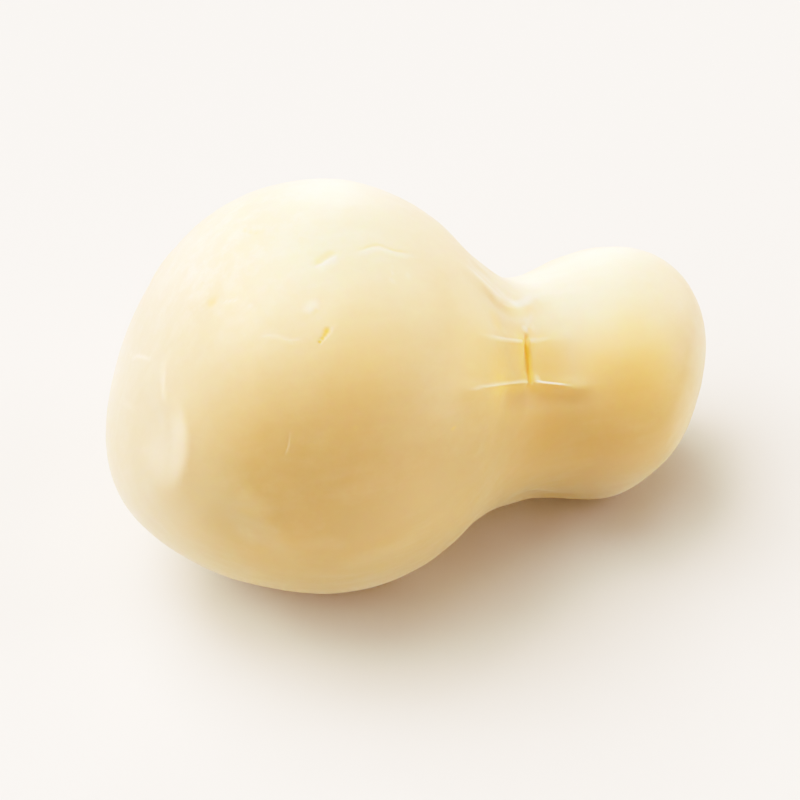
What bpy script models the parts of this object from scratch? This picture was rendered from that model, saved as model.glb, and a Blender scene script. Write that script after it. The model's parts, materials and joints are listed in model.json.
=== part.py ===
"""A scamorza, the pulled-curd cheese, lying on its side: a large ball, a neck drawn in by its string, and a
small knob of a head, all one piece. The string is off and has left its mark. Metres, +Z up, the head
towards +X."""

import math
from collections import namedtuple

import bpy
from mathutils import Vector

MM = 0.001

# Driving sizes
BALL_RADIUS = 39.0 * MM
HEAD_RADIUS = 24.8 * MM
BALL_TO_HEAD = 61.0 * MM  # between the two centres
NECK_FILLET = 29.0 * MM  # radius of the hollow curve that joins them
BALL_SINK = 2.0 * MM  # how far its own weight flattens the ball against the table
HEAD_SINK = 0.7 * MM

# The string went round the neck in a ring that leans: further along behind than in front
TIE_ALONG = 38.1 * MM
TIE_LEAN = 5.5 * MM
TIE_LEAN_TURN = -91.0
TIE_LEAN_REACH = 13.0 * MM

# The mesh: rings along the length and points round each ring, gathered where the folds are fine
RINGS = 58
POINTS_ROUND = 80
NECK_CROWDING = 1.2  # how many more rings to the millimetre the neck has than the ball
NECK_CROWDING_REACH = 11.0 * MM
TIE_CROWDING = 2.6  # and how many more again at the string's mark
TIE_CROWDING_REACH = 2.2 * MM
RING_STEP = 0.1 * MM  # how finely the outline is walked to space them
FRONT_TURN = 47.0
FRONT_GATHER = 0.40

CHEESE_COLOUR = (0.88, 0.74, 0.48, 1.0)
CHEESE_ROUGHNESS = 0.38

# Places on the cheese are given by their distance along its axis from the ball's centre, their distance out
# from the axis, and their turn round it in degrees: 0 on top, 90 in front, 180 below, -90 behind.

# A swell is a soft push out of the surface, or into it where its rise is negative
Swell = namedtuple("Swell", "along turn reach_along reach_round rise")
SWELLS = {
    "worn back shoulder": Swell(-24 * MM, -44, 14 * MM, 22 * MM, -1.4 * MM),
    "back of the ball": Swell(14 * MM, -45, 16 * MM, 20 * MM, 1.4 * MM),
    "ball's slope to the neck": Swell(23 * MM, -18, 7 * MM, 13 * MM, 0.5 * MM),
    "low corner of the tail": Swell(-30 * MM, 115, 12 * MM, 18 * MM, 0.8 * MM),
    "end of the tail": Swell(-33 * MM, 180, 9 * MM, 13 * MM, 0.8 * MM),
    "under the tail": Swell(-20 * MM, 145, 12 * MM, 20 * MM, -1.2 * MM),
    "belly": Swell(4 * MM, 140, 15 * MM, 22 * MM, -1.0 * MM),
    "low front of the ball": Swell(-8 * MM, 150, 9 * MM, 14 * MM, -1.5 * MM),
    "flank by the neck": Swell(26 * MM, 140, 10 * MM, 16 * MM, 0.4 * MM),
    "back of the neck": Swell(43 * MM, -50, 7 * MM, 16 * MM, -1.2 * MM),
    "nip over the neck": Swell(38 * MM, -32, 5 * MM, 13 * MM, -1.3 * MM),
    "nape": Swell(51 * MM, -45, 6 * MM, 14 * MM, 0.5 * MM),
    "under the neck": Swell(51 * MM, 146, 6 * MM, 12 * MM, 0.3 * MM),
    "back of the head": Swell(60 * MM, -50, 10 * MM, 14 * MM, 0.8 * MM),
    "high cheek": Swell(72 * MM, -50, 10 * MM, 14 * MM, 3.4 * MM),
    "top of the crown": Swell(76 * MM, -16, 7 * MM, 9 * MM, 0.6 * MM),
    "low cheek": Swell(73 * MM, 130, 10 * MM, 14 * MM, -2.9 * MM),
    "throat": Swell(58 * MM, 135, 10 * MM, 14 * MM, -1.6 * MM),
}

# A press flattens the cheese against a plane: which way the plane faces (along, up and to the front of the
# axis), the centre it is measured from and how far off, and how softly the flat runs into the curve
Press = namedtuple("Press", "facing_along facing_up facing_front centre_along distance softness")
PRESSES = {
    "blunt tail": Press(-1.0, 0.33, -0.23, 0.0, 35.0 * MM, 4.0 * MM),
    "blunt crown": Press(1.0, 0.06, 0.75, BALL_TO_HEAD, 21.9 * MM, 5.0 * MM),
}

# A fold is a narrow ridge along a line of places, or a groove where its rise is negative
Fold = namedtuple("Fold", "rise half_width places")
FOLD_LINE_REACH = 5.0 * MM  # how far above or below the surface a fold's line may lie


def string_line(start_turn, end_turn, out=23.5 * MM, step=6.0):
    """Places along the string's ring from one turn to another."""
    count = max(2, round((end_turn - start_turn) / step) + 1)
    turns = [start_turn + (end_turn - start_turn) * i / (count - 1) for i in range(count)]
    return [(string_along(turn), out, turn) for turn in turns]


def string_along(turn):
    return TIE_ALONG + TIE_LEAN * math.cos(math.radians(turn - TIE_LEAN_TURN))


def millimetres(*places):
    return [(along * MM, out * MM, turn) for along, out, turn in places]


FOLDS = {
    # The string's own groove shows in front between two pinched ridges, and in broken stretches elsewhere
    "string mark in front": Fold(-0.6 * MM, 0.8 * MM, string_line(32, 54)),
    "string mark behind": Fold(-0.7 * MM, 1.0 * MM, string_line(-118, -72)),
    "string mark below": Fold(-0.6 * MM, 1.0 * MM, string_line(166, 205)),
    "upper pinch towards the ball": Fold(
        0.4 * MM, 1.1 * MM, millimetres((21, 32.8, 37.8), (29.8, 26.6, 35.7), (33.8, 24.6, 35))
    ),
    "upper pinch towards the head": Fold(
        0.4 * MM, 1.1 * MM, millimetres((35, 24.2, 34.8), (39.3, 22.9, 33.3), (42.5, 22.4, 31))
    ),
    "lower pinch towards the ball": Fold(
        0.6 * MM, 1.2 * MM, millimetres((15.8, 35.6, 55.2), (27.2, 27.9, 53.4), (33.2, 24.5, 52.4))
    ),
    "lower pinch towards the head": Fold(
        0.8 * MM, 1.1 * MM, millimetres((34.8, 23.4, 52.5), (37.5, 23, 53.4), (45, 22.2, 56.3))
    ),
    "hollow under the lower pinch": Fold(-0.35 * MM, 1.8 * MM, millimetres((28, 27.6, 60), (46, 22.5, 63))),
    "hollow between the pinches": Fold(-0.3 * MM, 3.0 * MM, millimetres((26, 29, 44.5), (43, 22.1, 43.8))),
    "ridge on the neck's top": Fold(
        0.3 * MM, 1.6 * MM, millimetres((21.7, 32.8, 14.8), (29.1, 27.4, 15.6), (32, 25.5, 17))
    ),
    "fold across the neck's top": Fold(
        -0.3 * MM,
        1.4 * MM,
        millimetres((27.1, 27.7, 19.2), (29.2, 26, 21), (37.1, 22.8, 17.3), (41.3, 21.6, 14.2)),
    ),
    "lip of that fold": Fold(0.35 * MM, 1.6 * MM, millimetres((33.2, 24.8, 15.5), (38.8, 22.9, 11))),
    "crease under the neck": Fold(
        -0.6 * MM, 1.4 * MM, millimetres((38, 24, 119), (42, 23.5, 124), (48, 23.6, 131))
    ),
    "back pinch towards the ball": Fold(0.6 * MM, 1.6 * MM, millimetres((27, 27.5, -70), (43, 20.5, -71))),
    "back pinch towards the head": Fold(0.6 * MM, 1.6 * MM, millimetres((44.5, 20.3, -70), (54, 22.5, -66))),
    "low back pinch": Fold(0.7 * MM, 1.7 * MM, millimetres((30, 26, -120), (43, 22, -119), (52, 22.8, -124))),
    # The blunt tail has a shallow dimple and the crescents of a fold round it
    "dimple of the tail": Fold(-0.6 * MM, 5.5 * MM, millimetres((-34.5, 12, 68), (-34.2, 16, 83))),
    "inner crescent": Fold(0.35 * MM, 1.8 * MM, millimetres((-32.5, 17.4, 36.6), (-33.3, 17.7, 54.5))),
    "outer crescent": Fold(
        0.5 * MM,
        2.2 * MM,
        millimetres((-31.9, 21.6, 59.4), (-31.6, 23.4, 74), (-32.4, 22.2, 93.6), (-33.3, 20.9, 106)),
    ),
    # Soft folds of the curd low on the ball
    "low fold": Fold(0.45 * MM, 2.6 * MM, millimetres((-23, 32, 88), (-18.2, 34.8, 91), (-12, 36.5, 101))),
    "hollow under it": Fold(-0.5 * MM, 3.2 * MM, millimetres((-24, 30.8, 99), (-17, 34.6, 104))),
}


def clear_scene():
    for thing in list(bpy.data.objects):
        bpy.data.objects.remove(thing, do_unlink=True)


def cheese_material():
    material = bpy.data.materials.new("scamorza_curd")
    material.use_nodes = True
    shader = material.node_tree.nodes["Principled BSDF"]
    shader.inputs["Base Color"].default_value = CHEESE_COLOUR
    shader.inputs["Roughness"].default_value = CHEESE_ROUGHNESS
    shader.inputs["Metallic"].default_value = 0.0
    return material


class Outline:
    """The turned half outline from the tail to the crown, by the way travelled along it: an arc of the ball,
    the neck's hollow arc that touches it, and an arc of the head."""

    def __init__(self):
        ball_reach = BALL_RADIUS + NECK_FILLET
        head_reach = HEAD_RADIUS + NECK_FILLET
        self.hollow_along = (ball_reach**2 - head_reach**2 + BALL_TO_HEAD**2) / (2 * BALL_TO_HEAD)
        self.hollow_out = math.sqrt(ball_reach**2 - self.hollow_along**2)
        self.ball_end = math.atan2(self.hollow_out, self.hollow_along)
        self.head_start = math.atan2(self.hollow_out, self.hollow_along - BALL_TO_HEAD)
        self.ball_length = BALL_RADIUS * (math.pi - self.ball_end)
        self.hollow_length = NECK_FILLET * (self.head_start - self.ball_end)
        self.length = self.ball_length + self.hollow_length + HEAD_RADIUS * self.head_start

    def at(self, travelled):
        """The place (along, out) and the outward direction there, also as (along, out)."""
        if travelled < self.ball_length:
            angle = math.pi - travelled / BALL_RADIUS
            facing = (math.cos(angle), math.sin(angle))
            return (BALL_RADIUS * facing[0], BALL_RADIUS * facing[1]), facing
        travelled -= self.ball_length
        if travelled < self.hollow_length:
            angle = self.ball_end + travelled / NECK_FILLET
            facing = (math.cos(angle), math.sin(angle))
            along = self.hollow_along - NECK_FILLET * facing[0]
            return (along, self.hollow_out - NECK_FILLET * facing[1]), facing
        angle = max(0.0, self.head_start - (travelled - self.hollow_length) / HEAD_RADIUS)
        facing = (math.cos(angle), math.sin(angle))
        return (BALL_TO_HEAD + HEAD_RADIUS * facing[0], HEAD_RADIUS * facing[1]), facing

    def out_at(self, along):
        """The radius at a distance along the axis."""
        steps = round(self.length / RING_STEP)
        places = [self.at(step * RING_STEP)[0] for step in range(steps)]
        return min(places, key=lambda place: abs(place[0] - along))[1]

    def ring_ways(self):
        """How far along the outline each ring lies: closer in the neck, closest at the string's mark."""
        travelled = [0.0]
        crowding = [0.0]
        while travelled[-1] < self.length:
            travelled.append(travelled[-1] + RING_STEP)
            off = self.at(travelled[-1])[0][0] - TIE_ALONG
            neck = NECK_CROWDING * math.exp(-((off / NECK_CROWDING_REACH) ** 2))
            tie = TIE_CROWDING * math.exp(-((off / TIE_CROWDING_REACH) ** 2))
            crowding.append(crowding[-1] + 1.0 + neck + tie)
        ways = []
        i = 0
        for ring in range(RINGS + 1):
            wanted = crowding[-1] * ring / RINGS
            while crowding[i + 1] < wanted and i + 2 < len(crowding):
                i += 1
            share = (wanted - crowding[i]) / (crowding[i + 1] - crowding[i])
            ways.append(travelled[i] + share * RING_STEP)
        return ways


class Axis:
    """The line through both centres. It dips towards the head, as both ends lie on the table."""

    def __init__(self):
        dip = (BALL_RADIUS - BALL_SINK - HEAD_RADIUS + HEAD_SINK) / BALL_TO_HEAD
        level = math.sqrt(1 - dip**2)
        self.origin = Vector((0, 0, BALL_RADIUS))
        self.forward = Vector((level, 0, -dip))
        self.up = Vector((dip, 0, level))
        self.front = self.forward.cross(self.up)

    def outward(self, turn):
        angle = math.radians(turn)
        return self.up * math.cos(angle) + self.front * math.sin(angle)

    def place(self, along, out, turn):
        return self.origin + self.forward * along + self.outward(turn) * out


def gathered_turn(evenly):
    """The turn of a point that would lie evenly round its ring, with the points drawn to the front."""
    return evenly - math.degrees(FRONT_GATHER * math.sin(math.radians(evenly - FRONT_TURN)))


def leaning_way(outline, way, turn):
    """Rings near the neck lean with the string, so that its groove runs along them."""
    off = outline.at(way)[0][0] - TIE_ALONG
    return way + (string_along(turn) - TIE_ALONG) * math.exp(-((off / TIE_LEAN_REACH) ** 2))


def swell_at(axis, point, swell, centre):
    offset = point - centre
    along = offset.dot(axis.forward)
    around = (offset - axis.forward * along).length
    return swell.rise * math.exp(-((along / swell.reach_along) ** 2) - (around / swell.reach_round) ** 2)


def pressed(axis, point, press):
    facing = axis.forward * press.facing_along + axis.up * press.facing_up + axis.front * press.facing_front
    facing.normalize()
    beyond = (point - axis.place(press.centre_along, 0.0, 0.0)).dot(facing) - press.distance
    return point - facing * press.softness * math.log1p(math.exp(beyond / press.softness))


def shape_body(mesh, axis):
    """Turns the unit sphere, tail at its low pole, into the ball, neck and head with their swells and flats."""
    outline = Outline()
    ways = outline.ring_ways()
    centres = {}
    for name, swell in SWELLS.items():
        centres[name] = axis.place(swell.along, outline.out_at(swell.along), swell.turn)
    for vertex in mesh.vertices:
        ring = round(math.acos(max(-1.0, min(1.0, -vertex.co.z))) / math.pi * RINGS)
        turn = gathered_turn(math.degrees(math.atan2(vertex.co.y, vertex.co.x)))
        (along, out), facing = outline.at(leaning_way(outline, ways[ring], turn))
        point = axis.place(along, out, turn)
        normal = axis.forward * facing[0] + axis.outward(turn) * facing[1]
        rise = sum(swell_at(axis, point, swell, centres[name]) for name, swell in SWELLS.items())
        point = point + normal * rise
        for press in PRESSES.values():
            point = pressed(axis, point, press)
        vertex.co = point


def distance_across(point, normal, line):
    """Across the surface from a point on it to a line of straight runs, which may lie a little off it."""
    nearest = math.inf
    for start, end in zip(line, line[1:]):
        run = end - start
        share = max(0.0, min(1.0, (point - start).dot(run) / run.length_squared))
        offset = point - start - run * share
        height = offset.dot(normal)
        if abs(height) < FOLD_LINE_REACH:
            nearest = min(nearest, (offset - normal * height).length)
    return nearest


def fold_surface(mesh, axis):
    """Raises the ridges and sinks the grooves, each along the surface's own normal."""
    normals = [vertex.normal.copy() for vertex in mesh.vertices]
    lines = {name: [axis.place(*place) for place in fold.places] for name, fold in FOLDS.items()}
    for vertex, normal in zip(mesh.vertices, normals):
        rise = 0.0
        for name, fold in FOLDS.items():
            across = distance_across(vertex.co, normal, lines[name]) / fold.half_width
            rise += fold.rise * math.exp(-(across**2))
        vertex.co = vertex.co + normal * rise


def settle_on_table(mesh):
    """Flattens the underside where the cheese lies, and puts the origin under the middle of it."""
    lowest = min(vertex.co.z for vertex in mesh.vertices)
    for vertex in mesh.vertices:
        vertex.co.z = max(vertex.co.z - lowest - BALL_SINK, 0.0)
    for side in (0, 1):
        places = [vertex.co[side] for vertex in mesh.vertices]
        middle = (min(places) + max(places)) / 2
        for vertex in mesh.vertices:
            vertex.co[side] -= middle


def make_scamorza(collection):
    bpy.ops.mesh.primitive_uv_sphere_add(segments=POINTS_ROUND, ring_count=RINGS, radius=1.0)
    cheese = bpy.context.object
    cheese.name = "scamorza"
    cheese.data.name = "scamorza"
    axis = Axis()
    shape_body(cheese.data, axis)
    cheese.data.update()
    fold_surface(cheese.data, axis)
    settle_on_table(cheese.data)
    cheese.data.shade_smooth()
    cheese.data.materials.append(cheese_material())
    for other in list(cheese.users_collection):
        other.objects.unlink(cheese)
    collection.objects.link(cheese)


def main():
    clear_scene()
    collection = bpy.data.collections.new("scamorza")
    bpy.context.scene.collection.children.link(collection)
    make_scamorza(collection)


main()
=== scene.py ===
# %% [markdown]
# # A scamorza on a pale table
#
# A scamorza is a cheese of stretched curd. The hot curd is pulled into one smooth lump, nipped round with a
# string and hung up, so it is a large ball, a drawn-in neck and a small head, all of one piece. Its skin is
# smooth and a little moist, ivory on top and straw yellow where the light comes through it. The string is
# off, and its cut and the two pinches beside it are the sharpest marks on the cheese.
#
# The solid that the lesson starts from has the true form and the main folds. The lesson adds what the eye
# wants next: a finer surface with the small folds, tears and pits in it, the skin, the table and the light.

# %% Load the solid
import json
import math

import bpy
import numpy as np
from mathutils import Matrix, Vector, noise
from mathutils.bvhtree import BVHTree

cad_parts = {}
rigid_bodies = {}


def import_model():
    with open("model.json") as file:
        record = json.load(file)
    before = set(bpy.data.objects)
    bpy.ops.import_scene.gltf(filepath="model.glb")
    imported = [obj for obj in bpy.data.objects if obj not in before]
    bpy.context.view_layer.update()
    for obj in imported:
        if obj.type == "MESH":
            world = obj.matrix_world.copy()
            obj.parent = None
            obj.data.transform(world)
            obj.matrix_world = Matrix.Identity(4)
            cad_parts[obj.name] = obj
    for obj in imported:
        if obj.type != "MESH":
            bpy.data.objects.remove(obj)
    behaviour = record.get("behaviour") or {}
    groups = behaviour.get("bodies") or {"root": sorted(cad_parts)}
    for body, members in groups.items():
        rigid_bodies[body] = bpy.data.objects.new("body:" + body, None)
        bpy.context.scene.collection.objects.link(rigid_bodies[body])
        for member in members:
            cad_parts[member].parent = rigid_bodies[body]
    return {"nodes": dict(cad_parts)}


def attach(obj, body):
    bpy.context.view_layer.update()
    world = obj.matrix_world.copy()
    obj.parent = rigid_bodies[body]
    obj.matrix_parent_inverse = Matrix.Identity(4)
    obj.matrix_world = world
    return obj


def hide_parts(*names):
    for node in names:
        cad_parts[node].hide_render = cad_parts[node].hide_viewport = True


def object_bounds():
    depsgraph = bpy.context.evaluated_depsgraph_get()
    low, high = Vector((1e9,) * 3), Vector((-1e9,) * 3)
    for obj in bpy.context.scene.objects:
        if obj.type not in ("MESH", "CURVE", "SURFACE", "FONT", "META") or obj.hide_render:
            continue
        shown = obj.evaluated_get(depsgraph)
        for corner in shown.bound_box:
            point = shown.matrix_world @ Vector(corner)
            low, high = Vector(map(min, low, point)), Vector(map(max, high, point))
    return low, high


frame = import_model()
solid_box = [list(corner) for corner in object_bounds()]
MM = 0.001

size = [round((high - low) / MM, 1) for low, high in zip(*solid_box)]
print("The solid is", size, "mm")

# %% [markdown]
# ## The camera
#
# The camera comes first, because the small marks are placed by where it sees them. A long lens looks down
# on the table from 38 degrees up, and a little from the ball's end, so that the head points away to the
# right. A narrow field of view keeps the cheese from bulging, as a photographer's long lens does.

# %% Place the camera
PICTURE_SIDE = 800
CAMERA_HEIGHT = math.radians(38.0)
CAMERA_TURN = math.radians(19.64)
FIELD_OF_VIEW = math.radians(20.0)
AIM = Vector((-4.0, 0.08, 30.12)) * MM
HALF_PICTURE = 76.0 * MM  # what half the picture spans at the aim
NEAREST_SEEN, FARTHEST_SEEN = 0.01, 20.0

looking = Vector(
    (
        math.sin(CAMERA_TURN) * math.cos(CAMERA_HEIGHT),
        math.cos(CAMERA_TURN) * math.cos(CAMERA_HEIGHT),
        -math.sin(CAMERA_HEIGHT),
    )
)
to_right = looking.cross(Vector((0, 0, 1))).normalized()
to_top = to_right.cross(looking)
half_width = math.tan(FIELD_OF_VIEW / 2)
eye = AIM - looking * HALF_PICTURE / half_width

bpy.ops.object.camera_add(location=eye, rotation=looking.to_track_quat("-Z", "Y").to_euler())
camera = bpy.context.object
camera.data.angle = FIELD_OF_VIEW
camera.data.clip_start = NEAREST_SEEN
camera.data.clip_end = FARTHEST_SEEN
bpy.context.scene.camera = camera
print("The camera stands", round((eye - AIM).length / MM), "mm from the cheese")

# %% [markdown]
# ## A finer copy of the solid
#
# The solid is loose triangles, good for collision but too coarse for a moist skin, where every facet would
# show in the shine. A copy is merged into one skin, its triangles are paired into quads, and Subdivision
# Surface rounds it. The skin could be sculpted afresh, but a copy keeps the solid's true outline.

# %% Copy, merge and round the skin
SAME_POINT = 0.01 * MM
SMOOTH_LEVELS = 2


def select_only(piece):
    """Selects one piece alone, because an operator acts on all that is selected."""
    bpy.ops.object.select_all(action="DESELECT")
    piece.select_set(True)
    bpy.context.view_layer.objects.active = piece


def apply_modifier(piece, kind, **settings):
    """Adds a modifier with its settings and bakes it into the piece's mesh."""
    select_only(piece)
    modifier = piece.modifiers.new(kind.title(), kind)
    for name, value in settings.items():
        setattr(modifier, name, value)
    bpy.ops.object.modifier_apply(modifier=modifier.name)


select_only(frame["nodes"]["scamorza"])
bpy.ops.object.duplicate()
cheese = bpy.context.object
bpy.ops.object.parent_clear(type="CLEAR_KEEP_TRANSFORM")
cheese.name = "scamorza_skin"
# the solid's notes don't hold for the skin
for note in list(cheese.keys()):
    del cheese[note]
cheese.data.materials.clear()

select_only(cheese)
bpy.ops.object.mode_set(mode="EDIT")
bpy.ops.mesh.select_all(action="SELECT")
bpy.ops.mesh.remove_doubles(threshold=SAME_POINT)
bpy.ops.mesh.tris_convert_to_quads()
bpy.ops.object.mode_set(mode="OBJECT")
bpy.ops.object.shade_smooth()
apply_modifier(cheese, "SUBSURF", levels=SMOOTH_LEVELS, render_levels=SMOOTH_LEVELS)
print("The skin has", len(cheese.data.polygons), "faces")

# %% [markdown]
# ## Finding a place on the skin
#
# A mark that shows in the picture is given by its pixel, across and down from the top left corner. A ray
# from the camera through that pixel meets the skin where the mark belongs. A mark on the far side is given
# by how far along the cheese it lies and its turn round it, and a ray comes in from that side.

# %% Cast rays at the skin
CORE_HEIGHT = 34.0 * MM  # a line at this height runs through the whole cheese
FAR_OFF = 200.0 * MM

skin_rays = BVHTree.FromObject(cheese, bpy.context.evaluated_depsgraph_get())


def seen_at(column, row):
    """The place on the skin at a pixel of the picture, and the way the skin faces there."""
    across = (column / PICTURE_SIDE * 2 - 1) * half_width
    up = (1 - row / PICTURE_SIDE * 2) * half_width
    place, facing, _, _ = skin_rays.ray_cast(eye, (looking + to_right * across + to_top * up).normalized())
    return place, facing


def round_at(along, turn):
    """The place at a distance along the cheese, in mm from its middle, and a turn round it.

    A turn of 0 is on top, 90 in front and -90 behind.
    """
    out = Vector((0, -math.sin(math.radians(turn)), math.cos(math.radians(turn))))
    core = Vector((along * MM, 0, CORE_HEIGHT))
    place, facing, _, _ = skin_rays.ray_cast(core + out * FAR_OFF, -out)
    return place, facing


CUT_PIXEL = (527, 360)
print("The string's cut is at", [round(c / MM, 1) for c in seen_at(*CUT_PIXEL)[0]], "mm")

# %% [markdown]
# ## Finer skin round the fine marks
#
# The string's cut, the tears and the scratch are thinner than a grain of rice, too thin for the skin so far.
# Round them it is divided once more, and round the very thinnest twice. That is cheaper than dividing the
# whole cheese again.

# %% Divide the skin round the fine marks
# each spot is a pixel and how far the finer skin reaches from it, in mm
FINE_SPOTS = [
    (526, 345, 7.0),  # the cut's upper half
    (528, 375, 7.0),  # its lower half
    (500, 385, 5.0),  # the lower pinch, left of the cut
    (555, 385, 5.0),  # the lower pinch, right of it
    (505, 338, 4.5),  # the upper pinch
    (515, 305, 5.0),  # the lip over the neck
    (325, 262, 4.6),  # the tear
    (385, 250, 5.6),  # the flap
    (322, 338, 5.0),  # the row of pits
    (178, 440, 5.0),  # the crescent
    (293, 438, 3.6),  # the scratch
    (142, 357, 3.4),  # the thin arc on the tail
]
FINEST_SPOTS = [
    (322, 337, 2.4),  # the row of pits
    (295, 434, 2.0),  # the scratch's top
    (290, 447, 1.6),  # its foot
    (526, 358, 2.4),  # the cut's middle
    (527, 345, 2.0),  # its top
    (528, 372, 2.4),  # its foot
]


def read_vectors(parts, name):
    """Three numbers for each point or face of a mesh, in rows."""
    values = np.empty(len(parts) * 3, np.float32)
    parts.foreach_get(name, values)
    return values.reshape(-1, 3)


def select_faces_near(piece, spots):
    """Selects the faces whose middle is within reach of a spot, and hands back how many."""
    middles = read_vectors(piece.data.polygons, "center")
    chosen = np.zeros(len(middles), bool)
    for spot, reach in spots:
        chosen |= np.linalg.norm(middles - np.array(spot), axis=1) < reach
    piece.data.polygons.foreach_set("select", chosen)
    return int(chosen.sum())


for spots in (FINE_SPOTS, FINEST_SPOTS):
    select_only(cheese)
    bpy.ops.object.mode_set(mode="EDIT")
    bpy.ops.mesh.select_mode(type="FACE")
    bpy.ops.mesh.select_all(action="DESELECT")
    bpy.ops.object.mode_set(mode="OBJECT")
    near = select_faces_near(cheese, [(seen_at(column, row)[0], reach * MM) for column, row, reach in spots])
    bpy.ops.object.mode_set(mode="EDIT")
    bpy.ops.mesh.subdivide(number_cuts=1, smoothness=0.0)
    bpy.ops.object.mode_set(mode="OBJECT")
    print(near, "faces divided")
cheese.data.calc_loop_triangles()
print(len(cheese.data.loop_triangles), "triangles in all")

# %% [markdown]
# ## A tool for folds
#
# A fold in curd is a line along which the skin rises or sinks. The tool takes a few places, runs a smooth
# line through them, and measures for every point of the skin how far it lies across that line, to its left
# or its right, and how far along it. From that it adds to a map of heights. The heights are kept in one list
# and are only pushed into the mesh at the end, so that folds that cross add up cleanly.

# %% Measure from a line on the skin
LINE_STEPS = 8  # short runs between two given places

points = read_vectors(cheese.data.vertices, "co").astype(float)
normals = read_vectors(cheese.data.vertices, "normal").astype(float)
heights = np.zeros(len(points))


def smooth_line(places):
    """A Catmull-Rom curve through the places, as many short runs."""
    knots = np.array([places[0], *places, places[-1]], float)
    line = []
    for before, start, end, after in zip(knots, knots[1:], knots[2:], knots[3:]):
        for step in range(LINE_STEPS):
            t = step / LINE_STEPS
            bend = 2 * before - 5 * start + 4 * end - after
            twist = 3 * start - before - 3 * end + after
            line.append(0.5 * (2 * start + (end - before) * t + bend * t**2 + twist * t**3))
    line.append(knots[-1])
    return np.array(line)


class Line:
    """A line on the skin, and how each point within reach of it lies.

    across is the distance from the line, more than 0 on its left; along runs from 0 to 1.
    """

    def __init__(self, places, reach):
        line = smooth_line(places)
        span = np.ptp(line, axis=0).max()
        self.near = np.flatnonzero(np.linalg.norm(points - line.mean(0), axis=1) < reach + span)
        spots = points[self.near]
        runs = np.diff(line, axis=0)
        lengths = np.linalg.norm(runs, axis=1)
        travelled = np.concatenate([[0], np.cumsum(lengths)])
        best = np.full(len(spots), np.inf)
        self.across = np.zeros(len(spots))
        self.along = np.zeros(len(spots))
        self.length = travelled[-1]
        for run, start, length, passed in zip(runs, line, lengths, travelled):
            offset = spots - start
            share = np.clip(offset @ run / length**2, 0, 1)
            offset = offset - share[:, None] * run
            offset -= (offset * normals[self.near]).sum(1)[:, None] * normals[self.near]
            distance = np.linalg.norm(offset, axis=1)
            side = (np.cross(normals[self.near], run) * offset).sum(1)
            closer = distance < best
            best[closer] = distance[closer]
            self.across[closer] = np.copysign(distance, side)[closer]
            self.along[closer] = (passed + share[closer] * length) / self.length


def seen_line(*pixels):
    """The places at some pixels of the picture."""
    return [seen_at(column, row)[0] for column, row in pixels]


def round_line(*turns):
    """The places at some distances along the cheese and turns round it."""
    return [round_at(along, turn)[0] for along, turn in turns]


print("Lines are measured from", len(points), "points")

# %% Raise and sink folds
def bump(across, left, right, crisp):
    """1 on the line, falling to 0 at a width on each side: a soft hump, or a sharp edge where crisp."""
    t = np.clip(np.abs(across) / np.where(across > 0, left, right), 0, 1)
    return (1 - t) ** 2 if crisp else (1 - t**2) ** 2


def fade_out(along, fades):
    """1 in the middle of a line, falling to 0 over a share of it at its start and its end."""
    start, end = fades
    rising = np.clip(along / start, 0, 1)
    falling = np.clip((1 - along) / end, 0, 1)
    ends = np.minimum(rising, falling)
    return ends * ends * (3 - 2 * ends)


def fold(places, rise, left, right, crisp=False, fades=(0.3, 0.3)):
    """Adds a ridge, or a groove where the rise is negative, and hands back where it is, from 0 to 1.

    The rise and the widths on its left and right are in mm.
    """
    line = Line(places, max(left, right) * MM)
    amount = bump(line.across, left * MM, right * MM, crisp) * fade_out(line.along, fades)
    where = np.zeros(len(points))
    where[line.near] = amount
    heights[:] = heights + where * rise * MM
    return where


def knob(place, rise, width):
    """Adds a small round rise, or a pit where the rise is negative. Its width is from its middle, in mm."""
    away = np.linalg.norm(points - np.array(place), axis=1)
    where = bump(away, width * MM, width * MM, crisp=False)
    heights[:] = heights + where * rise * MM
    return where


print("Folds and knobs can be added to the", len(heights), "heights")

# %% [markdown]
# ## The string's cut and its two pinches
#
# The string bit into the neck and left an upright cut, open to the right: its left wall is steep and its
# right one runs out softly. The curd that it squeezed aside stands up in two thin pinches, one above the
# other, which cross the cut's ends and run out on both sides. The lower one overhangs a little, so it has
# a crisp lower edge and a shadow under it. The knobs and pinches are laid in pale that is partly painted
# highlight, and the cut and the line under the lower pinch in a deep colour that is partly painted shade.

# %% Cut and pinches
gold = np.zeros(len(points))  # where squeezing has brought the butter out, and its colour is golden
creases_and_shade = np.zeros(len(points))  # where the skin is torn or folded in, and its colour is deep: partly painted shade in the hollows
pale_and_highlight = np.zeros(len(points))  # where it is stretched or dry, and its colour is pale, with painted highlights on ridges and edges
painted_warm_shade = np.zeros(len(points))  # painted warm shade, on the front and under the head and the neck, and its colour is warm


def mark(colour, where, share):
    """Lays a share of a colour where a form is, and keeps what is stronger there already."""
    np.maximum(colour, where * share, out=colour)


cut = seen_line((528.2, 332), (526.8, 342.7), (527.4, 354.1), (528.4, 363.3), (529.4, 372), (530.2, 386))
mark(creases_and_shade, fold(cut, -0.19, left=0.5, right=0.9, fades=(0.12, 0.1)), 0.62)
mark(creases_and_shade, fold(cut, -0.10, left=0.4, right=3.6, fades=(0.25, 0.15)), 0.5)
floor_of_cut = seen_line((528.4, 335), (528, 345), (528.8, 355), (529.8, 364), (530.8, 373), (531.4, 383))
mark(creases_and_shade, fold(floor_of_cut, -0.12, left=0.8, right=1.15, fades=(0.2, 0.15)), 0.6)

# small knobs of curd stand over the cut's top and beside its foot: each is a pixel and its share of pale,
# which is partly painted highlight
CUT_KNOBS = ((524.6, 328.5, 0.8), (532.5, 328.5, 0.4), (538.0, 378.8, 0.5))
for column, row, share in CUT_KNOBS:
    mark(pale_and_highlight, knob(seen_at(column, row)[0], 0.15, width=1.3), share)

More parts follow.
